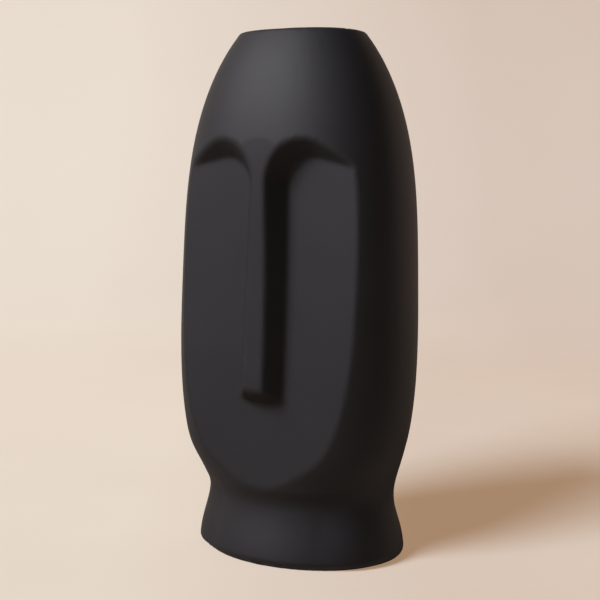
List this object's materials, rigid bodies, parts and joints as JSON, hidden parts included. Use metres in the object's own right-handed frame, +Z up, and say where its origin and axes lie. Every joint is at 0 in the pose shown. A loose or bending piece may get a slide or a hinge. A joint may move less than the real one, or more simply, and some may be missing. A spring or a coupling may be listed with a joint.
{
  "type": "face vase",
  "caption": "Tall matt black ceramic vase shaped like an abstract head, with a long nose and arched brows scooped into its front, open at the top to hold flower stems.",
  "frame": {"origin": "middle of the foot, on the table", "axes": "+Z up, the face looks along -Y, +X to the right of someone who faces the vase"},
  "size_m": [0.144, 0.1086, 0.3],
  "materials": {
    "matt_ceramic": "matt black slip-cast ceramic",
    "inside_glaze": "glossy black glaze",
    "felt": "dark felt"
  },
  "bodies": {
    "root": {"vase_body": "matt_ceramic", "inner_glaze": "inside_glaze", "base_felt": "felt"}
  },
  "joints": []
}
